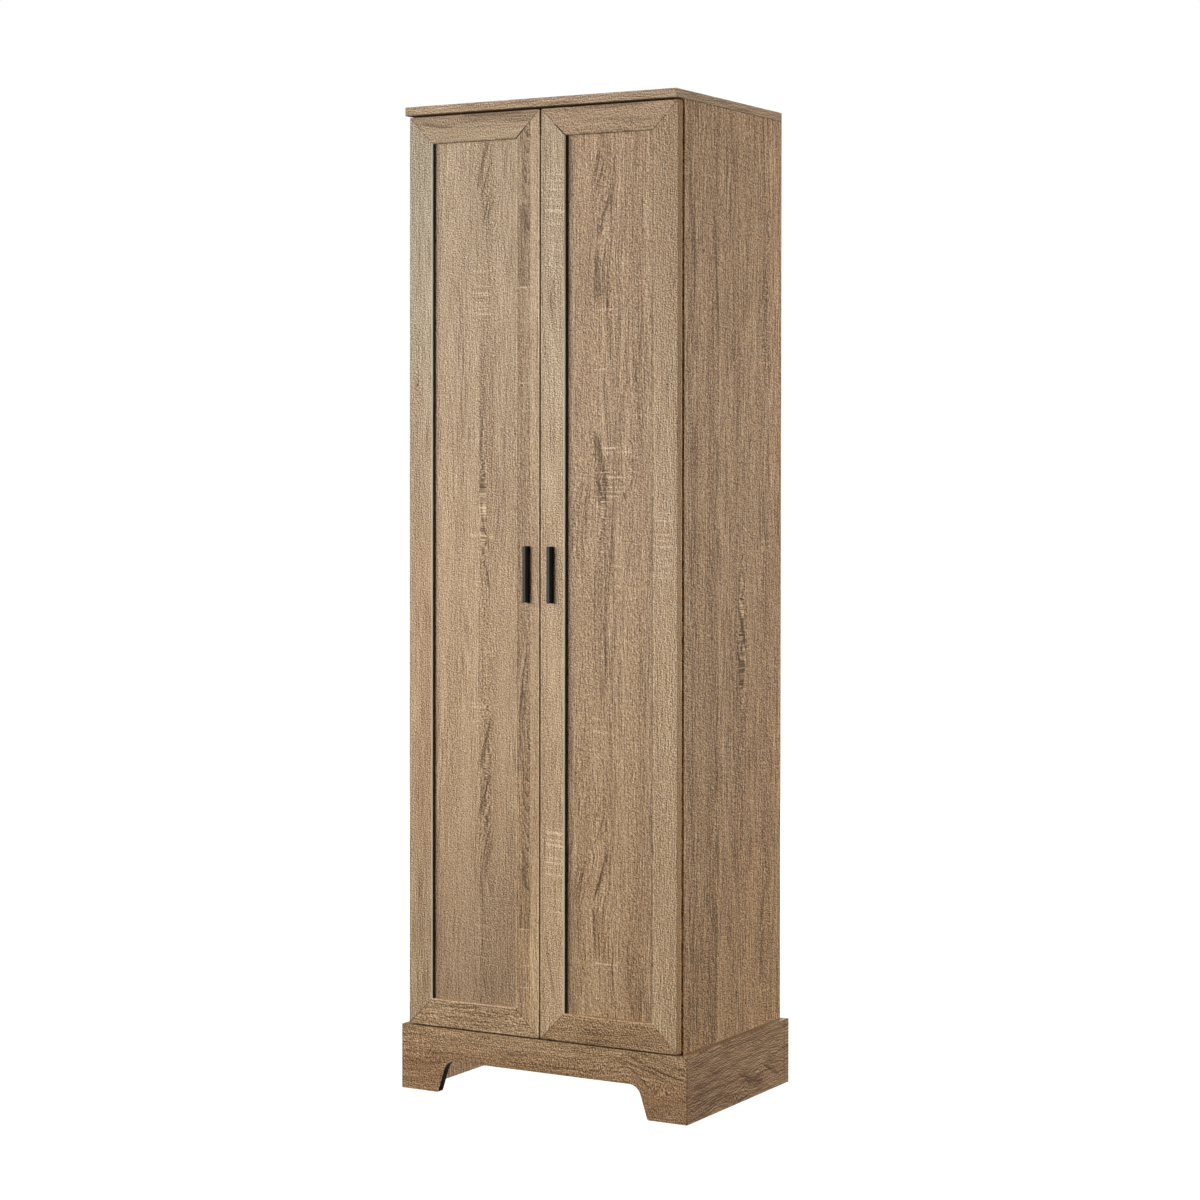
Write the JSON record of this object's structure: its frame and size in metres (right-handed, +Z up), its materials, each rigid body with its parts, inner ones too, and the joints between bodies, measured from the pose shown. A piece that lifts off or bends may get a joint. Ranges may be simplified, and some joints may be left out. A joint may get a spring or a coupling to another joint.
{
  "type": "broom cupboard",
  "caption": "Tall free-standing broom cupboard: framed double doors on concealed hinges, bar handles, bracket-foot plinth, hat shelf, tall bay and adjustable shelves.",
  "frame": {"origin": "on the floor under the middle of the cupboard's overall box", "axes": "+Z up, +Y to the back, +X to the right seen from the front; the doors face -Y"},
  "size_m": [0.6, 0.422, 1.816],
  "materials": {
    "oak_decor": "grey-brown sawn oak decor foil on particle board, matt",
    "black_metal": "matt black powder coat",
    "nickel_steel": "nickel-plated pressed steel, satin",
    "zinc_screws": "bright zinc-plated",
    "zinc_casting": "die-cast zinc, dull",
    "beech_dowel": "plain beech",
    "back_board": "3 mm hardboard, smooth face inside",
    "joining_strip": "extruded plastic",
    "bumper": "soft clear bumper",
    "block_wood": "planed softwood"
  },
  "bodies": {
    "carcass": {"top_panel": "oak_decor", "left_side_panel": "oak_decor", "right_side_panel": "oak_decor", "bottom_panel": "oak_decor", "hat_shelf": "oak_decor", "divider_panel": "oak_decor", "lower_shelf": "oak_decor", "middle_shelf": "oak_decor", "upper_shelf": "oak_decor", "shelf_pins": "zinc_screws", "back_panel_left": "back_board", "back_panel_right": "back_board", "back_joining_strip": "joining_strip", "back_nails": "zinc_screws", "plinth_front": "oak_decor", "plinth_left_side": "oak_decor", "plinth_right_side": "oak_decor", "plinth_back_rail": "oak_decor", "plinth_blocks": "block_wood", "plinth_screws": "zinc_screws", "cam_locks": "zinc_casting", "cam_bolts": "zinc_casting", "dowels": "beech_dowel", "anti_tip_brackets": "nickel_steel", "bracket_screws": "zinc_screws", "left_hinge_arms": "nickel_steel", "left_mounting_plates": "nickel_steel", "left_plate_screws": "zinc_screws", "left_arm_screws": "zinc_screws", "right_hinge_arms": "nickel_steel", "right_mounting_plates": "nickel_steel", "right_plate_screws": "zinc_screws", "right_arm_screws": "zinc_screws"},
    "left_door": {"left_hinge_stile": "oak_decor", "left_lock_stile": "oak_decor", "left_bottom_rail": "oak_decor", "left_top_rail": "oak_decor", "left_door_panel": "oak_decor", "left_handle": "black_metal", "left_handle_screws": "zinc_screws", "left_hinge_cups": "nickel_steel", "left_hinge_pins": "zinc_screws", "left_cup_screws": "zinc_screws", "left_door_bumpers": "bumper"},
    "right_door": {"right_hinge_stile": "oak_decor", "right_lock_stile": "oak_decor", "right_bottom_rail": "oak_decor", "right_top_rail": "oak_decor", "right_door_panel": "oak_decor", "right_handle": "black_metal", "right_handle_screws": "zinc_screws", "right_hinge_cups": "nickel_steel", "right_hinge_pins": "zinc_screws", "right_cup_screws": "zinc_screws", "right_door_bumpers": "bumper"}
  },
  "joints": [
    {"name": "left_door_hinge", "type": "hinge", "parent": "carcass", "child": "left_door", "pos_m": [-0.2745, -0.1879, 0.96], "axis": [0, 0, -1], "range_deg": [0, 110]},
    {"name": "right_door_hinge", "type": "hinge", "parent": "carcass", "child": "right_door", "pos_m": [0.2745, -0.1879, 0.96], "axis": [0, 0, 1], "range_deg": [0, 110]}
  ]
}
